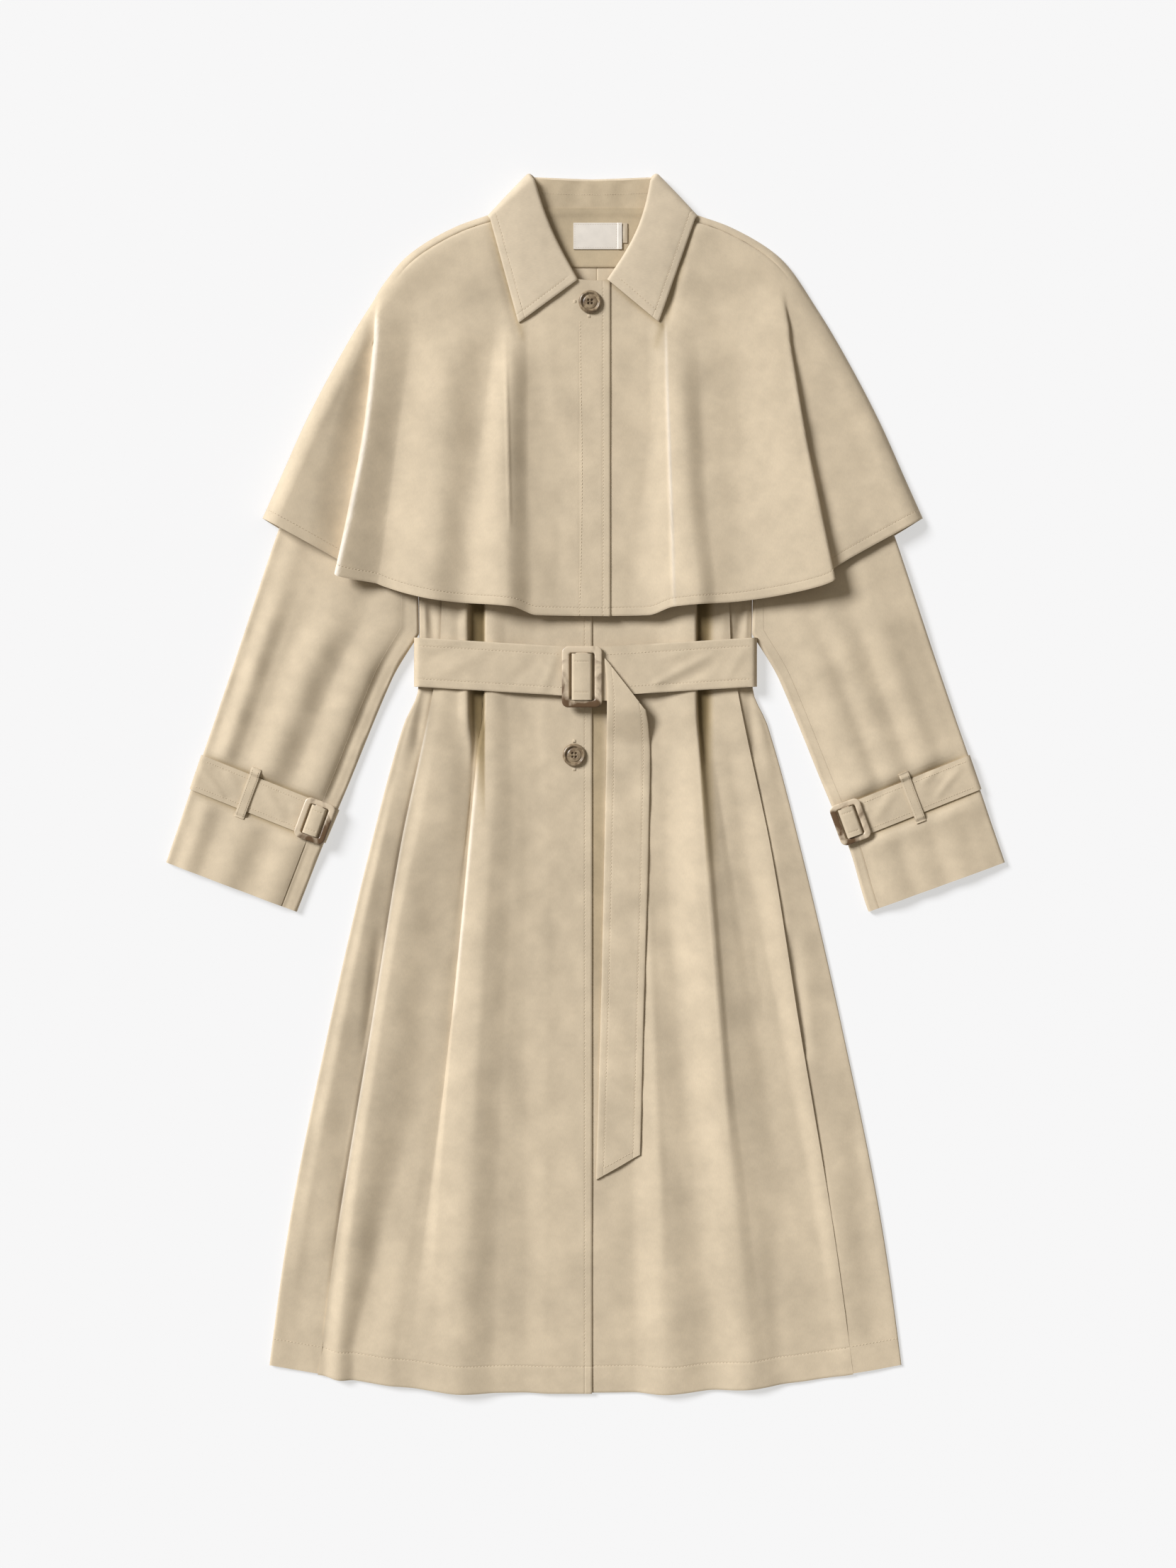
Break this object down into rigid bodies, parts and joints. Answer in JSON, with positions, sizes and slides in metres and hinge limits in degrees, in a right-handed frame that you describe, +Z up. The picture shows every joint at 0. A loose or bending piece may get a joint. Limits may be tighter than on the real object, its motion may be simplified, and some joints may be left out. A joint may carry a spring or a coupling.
{
  "type": "trench cape",
  "caption": "Belted trench coat with a deep shoulder cape, laid flat on its back: spread collar, sleeves with buckled cuff straps, and a buckled belt whose tail lies down the skirt.",
  "frame": {"origin": "middle of the plan, on the surface that the coat lies on", "axes": "+X across the coat to the right as seen from above, +Y from hem to collar, +Z up from the surface"},
  "size_m": [0.83, 1.2049, 0.0296],
  "materials": {
    "gabardine": "matte cotton twill",
    "gabardine_inside": "matte cotton twill, shaded inside the neck",
    "label_weave": "satin woven label, blank",
    "horn_dark": "satin dark horn look",
    "horn_pale": "satin marbled pale horn look"
  },
  "bodies": {
    "root": {"coat_back": "gabardine", "coat_front_left": "gabardine", "coat_front_right": "gabardine", "sleeve_left_top": "gabardine", "sleeve_left_under": "gabardine", "sleeve_right_top": "gabardine", "sleeve_right_under": "gabardine", "cape_back": "gabardine", "cape_front_left": "gabardine", "cape_front_right": "gabardine", "collar": "gabardine", "collar_stand": "gabardine", "neck_facing": "gabardine_inside", "neck_label": "label_weave", "size_tab": "label_weave", "belt": "gabardine", "belt_tail": "gabardine", "belt_tongue": "gabardine", "belt_end": "gabardine", "belt_buckle": "horn_pale", "cuff_strap_left": "gabardine", "cuff_strap_right": "gabardine", "cuff_end_left": "gabardine", "cuff_end_right": "gabardine", "cuff_loop_left": "gabardine", "cuff_loop_right": "gabardine", "cuff_buckle_left": "horn_pale", "cuff_buckle_right": "horn_pale", "button_neck": "horn_dark", "button_front": "horn_dark"}
  },
  "joints": []
}
